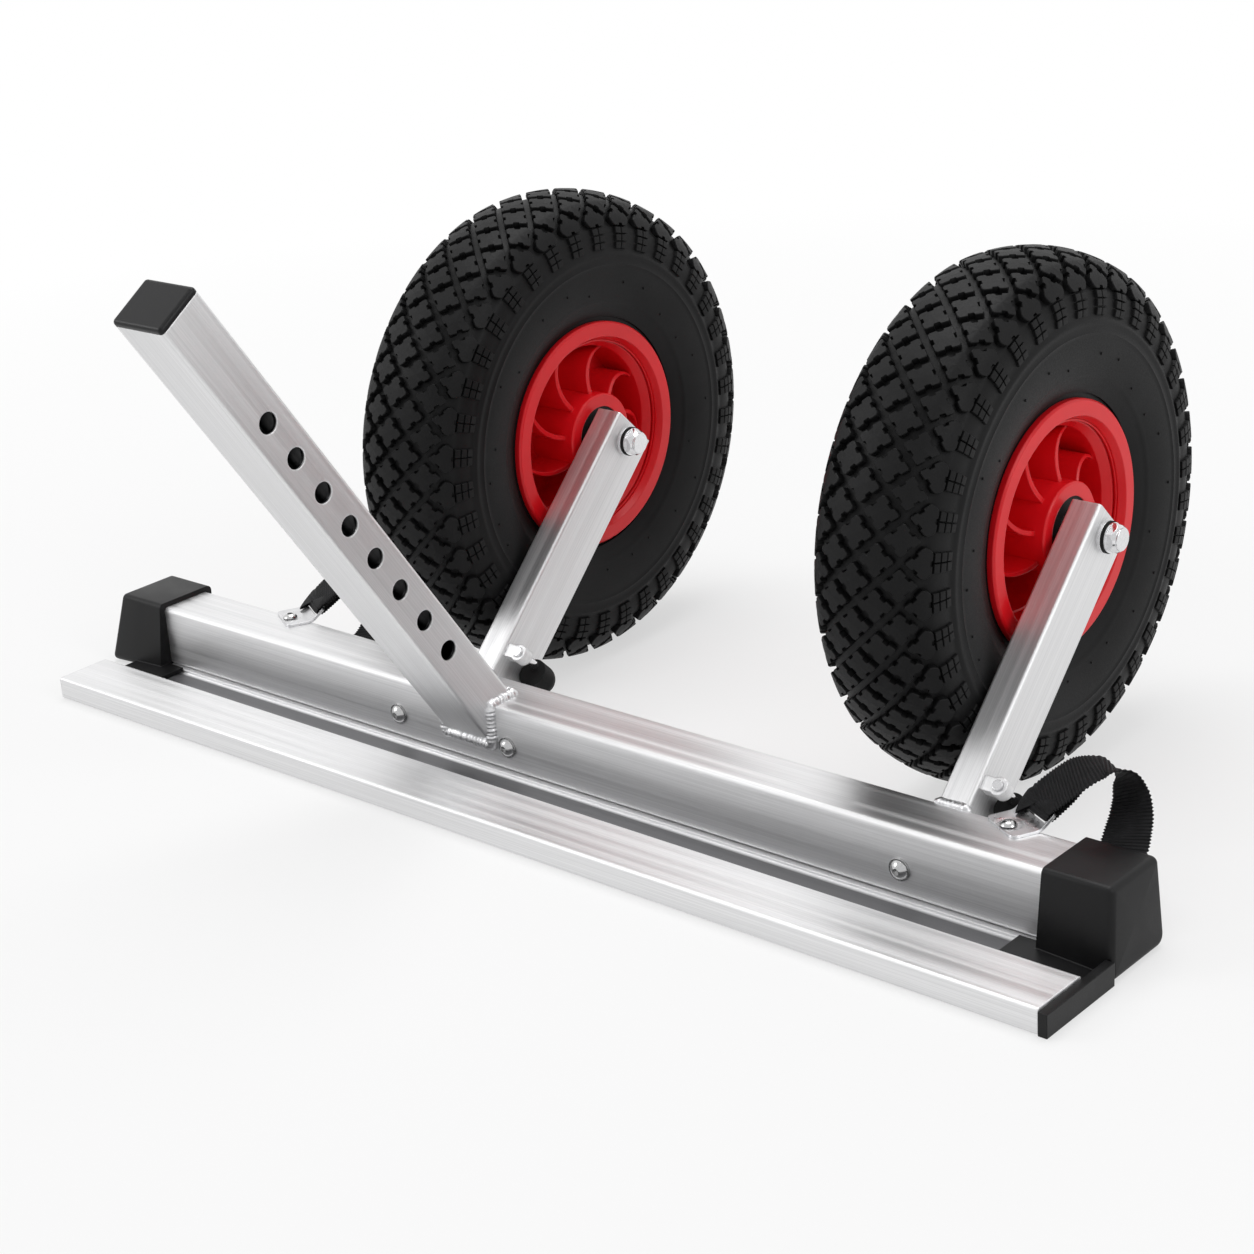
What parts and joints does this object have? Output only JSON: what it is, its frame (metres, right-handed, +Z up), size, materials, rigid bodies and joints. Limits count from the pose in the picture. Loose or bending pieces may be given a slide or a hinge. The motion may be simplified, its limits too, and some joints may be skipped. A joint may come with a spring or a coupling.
{
  "type": "two-wheeled transport wheel bar",
  "caption": "Aluminium transport bar on a pair of pneumatic wheels, with a leaning drawbar tube that has a row of pin holes, webbing straps and end caps.",
  "frame": {"origin": "middle of the base profile's length and depth, on its underside, which is the floor", "axes": "+X along the bar, to the right in the picture; +Y from the front bar towards the wheels; +Z up"},
  "size_m": [0.6643, 0.453, 0.2891],
  "materials": {
    "aluminium": "mill finish, satin",
    "arm_aluminium": "brushed lengthwise",
    "weld": "rippled weld bead",
    "steel_screw": "stainless, satin",
    "bright_steel": "zinc plated, bright",
    "plate_steel": "stainless sheet",
    "sleeve_chrome": "turned, bright",
    "bearing_steel": "ground steel",
    "cap_plastic": "fine-grained black",
    "rubber": "matt black",
    "tyre_rubber": "matt black, knobbed tread",
    "rim_red": "satin red",
    "webbing": "coarse black webbing",
    "valve_brass": "plain"
  },
  "bodies": {
    "frame": {"base_profile": "aluminium", "cross_tube": "aluminium", "drawbar_tube": "aluminium", "fixing_blocks": "aluminium", "drawbar_weld": "weld", "face_screws": "steel_screw", "face_washers": "steel_screw", "base_screws": "steel_screw", "drawbar_plug": "cap_plastic", "end_cap_left": "cap_plastic", "wheel_arm_left": "arm_aluminium", "arm_weld_left": "weld", "strap_left": "webbing", "strap_plate_left": "plate_steel", "strap_clamp_left": "plate_steel", "strap_screws_left": "steel_screw", "buffer_lug_left": "arm_aluminium", "buffer_stud_left": "bright_steel", "axle_bolt_left": "bright_steel", "axle_washers_left": "bright_steel", "axle_nut_left": "bright_steel", "buffer_left": "rubber", "axle_ring_left": "rubber", "axle_sleeve_left": "sleeve_chrome", "bearing_inner_left": "bearing_steel", "bearing_spacer_left": "bearing_steel", "end_cap_right": "cap_plastic", "wheel_arm_right": "arm_aluminium", "arm_weld_right": "weld", "strap_right": "webbing", "strap_plate_right": "plate_steel", "strap_clamp_right": "plate_steel", "strap_screws_right": "steel_screw", "buffer_lug_right": "arm_aluminium", "buffer_stud_right": "bright_steel", "axle_bolt_right": "bright_steel", "axle_washers_right": "bright_steel", "axle_nut_right": "bright_steel", "buffer_right": "rubber", "axle_ring_right": "rubber", "axle_sleeve_right": "sleeve_chrome", "bearing_inner_right": "bearing_steel", "bearing_spacer_right": "bearing_steel"},
    "wheel_left": {"rim_left": "rim_red", "tyre_left": "tyre_rubber", "inner_tube_left": "rubber", "valve_left": "valve_brass", "bearing_outer_left": "bearing_steel", "bearing_balls_left": "bearing_steel", "hub_seals_left": "rubber"},
    "wheel_right": {"rim_right": "rim_red", "tyre_right": "tyre_rubber", "inner_tube_right": "rubber", "valve_right": "valve_brass", "bearing_outer_right": "bearing_steel", "bearing_balls_right": "bearing_steel", "hub_seals_right": "rubber"}
  },
  "joints": [
    {"name": "wheel_left_spin", "type": "hinge", "parent": "frame", "child": "wheel_left", "pos_m": [-0.12485, 0.16571, 0.13], "axis": [1, 0, 0], "continuous": true},
    {"name": "wheel_right_spin", "type": "hinge", "parent": "frame", "child": "wheel_right", "pos_m": [0.17115, 0.16571, 0.13], "axis": [1, 0, 0], "continuous": true}
  ]
}
